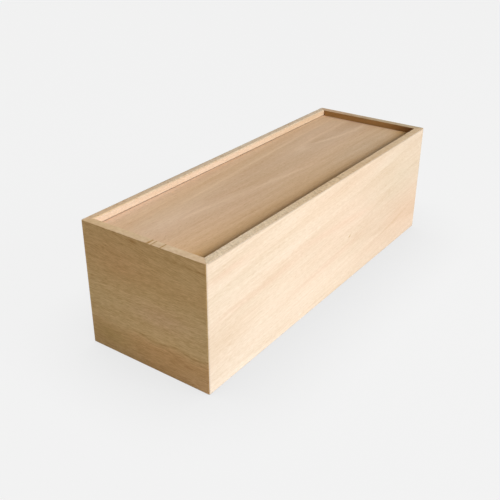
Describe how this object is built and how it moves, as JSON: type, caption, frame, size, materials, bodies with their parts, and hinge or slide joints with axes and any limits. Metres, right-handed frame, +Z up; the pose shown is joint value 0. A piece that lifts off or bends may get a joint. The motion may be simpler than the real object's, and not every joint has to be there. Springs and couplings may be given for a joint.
{
  "type": "sliding lid box",
  "caption": "Long mitred wooden box. A recessed lid panel slides out of grooves in the side walls, together with the end rail that completes the rim.",
  "frame": {"origin": "under the middle of the box, on the plane that it stands on", "axes": "+X across the box to its right side, +Y along it towards the end that the lid slides out of, +Z up"},
  "size_m": [0.12, 0.355, 0.11],
  "materials": {
    "beech_side": "sanded bare wood, dull satin",
    "beech_end": "sanded bare wood, dull satin",
    "beech_lid": "sanded bare wood, dull satin",
    "beech_bottom": "sanded bare wood, dull satin",
    "beech_spline": "sawn and glued in"
  },
  "bodies": {
    "box": {"closed_end_wall": "beech_end", "opening_end_wall": "beech_end", "left_side_wall": "beech_side", "right_side_wall": "beech_side", "bottom_panel": "beech_bottom", "corner_spline_closed_left": "beech_spline", "corner_spline_closed_right": "beech_spline", "corner_spline_opening_left": "beech_spline", "corner_spline_opening_right": "beech_spline"},
    "lid": {"lid_panel": "beech_lid", "lid_pull_rail": "beech_end"}
  },
  "joints": [
    {"name": "lid_slide", "type": "slide", "parent": "box", "child": "lid", "axis": [0, 1, 0], "range_m": [0, 0.36]}
  ]
}
